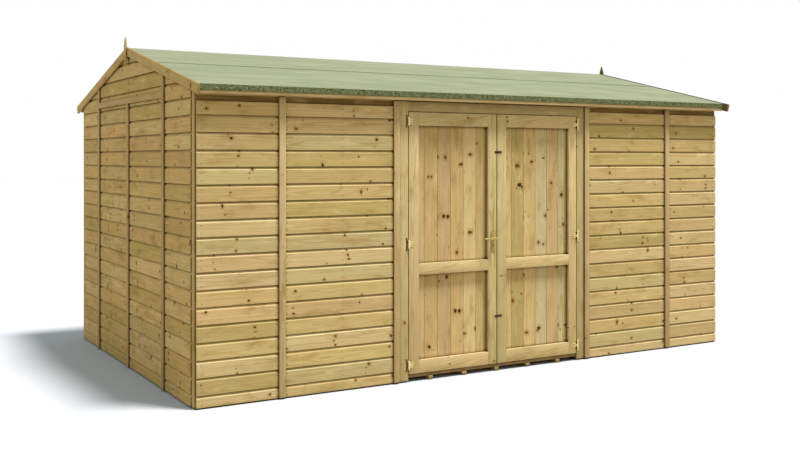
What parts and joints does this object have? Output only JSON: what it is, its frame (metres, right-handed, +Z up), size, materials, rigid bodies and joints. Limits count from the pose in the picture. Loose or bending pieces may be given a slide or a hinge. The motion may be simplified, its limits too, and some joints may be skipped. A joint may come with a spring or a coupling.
{
  "type": "workshop shed",
  "caption": "Windowless timber apex workshop shed with framed double doors in the long side, felted roof and boarded walls in panels with cover strips.",
  "frame": {"origin": "on the ground under the middle of the floor", "axes": "+X along the ridge, to the right when facing the doors; +Y from the front wall with the doors to the rear wall; +Z up"},
  "size_m": [4.668, 3.18, 2.4584],
  "materials": {
    "timber": "sawn",
    "felt": "mineral grit",
    "brass": "polished",
    "black_metal": "satin"
  },
  "bodies": {
    "shed": {"floor_bearers": "timber", "floor_boards": "timber", "door_sill": "timber", "front_wall_left": "timber", "front_wall_right": "timber", "rear_wall": "timber", "left_gable_wall": "timber", "right_gable_wall": "timber", "gable_tops": "timber", "long_wall_frames": "timber", "gable_frames": "timber", "door_posts": "timber", "door_head": "timber", "door_stops": "timber", "long_wall_cover_strips": "timber", "gable_cover_strips": "timber", "gable_battens": "timber", "front_roof_boards": "timber", "rear_roof_boards": "timber", "eaves_fascias": "timber", "purlins": "timber", "ridge_beam": "timber", "rafters": "timber", "truss_timbers": "timber", "truss_gussets": "timber", "bargeboards": "timber", "finials": "timber", "front_felt": "felt", "rear_felt": "felt", "ridge_felt": "felt", "post_hinge_leaves": "brass"},
    "left_door": {"left_door_stiles": "timber", "left_door_rails": "timber", "left_door_boards": "timber", "left_door_ledges": "timber", "left_door_hinge_leaves": "brass", "left_door_meeting_plates": "black_metal", "handle_plates": "brass"},
    "right_door": {"right_door_stiles": "timber", "right_door_rails": "timber", "right_door_boards": "timber", "right_door_ledges": "timber", "right_door_hinge_leaves": "brass", "right_door_meeting_plates": "black_metal"},
    "lever": {"lever_handle": "brass"}
  },
  "joints": [
    {"name": "left_door_hinge", "type": "hinge", "parent": "shed", "child": "left_door", "pos_m": [-0.7565, -1.474, 0.961], "axis": [0, 0, -1], "range_deg": [0, 160]},
    {"name": "right_door_hinge", "type": "hinge", "parent": "shed", "child": "right_door", "pos_m": [0.7565, -1.474, 0.961], "axis": [0, 0, 1], "range_deg": [0, 160]},
    {"name": "lever_turn", "type": "hinge", "parent": "left_door", "child": "lever", "pos_m": [-0.0335, -1.453, 0.972], "axis": [0, -1, 0], "range_deg": [0, 40], "stiffness_Nm_per_rad": 0.5, "springref_deg": -17.19}
  ]
}
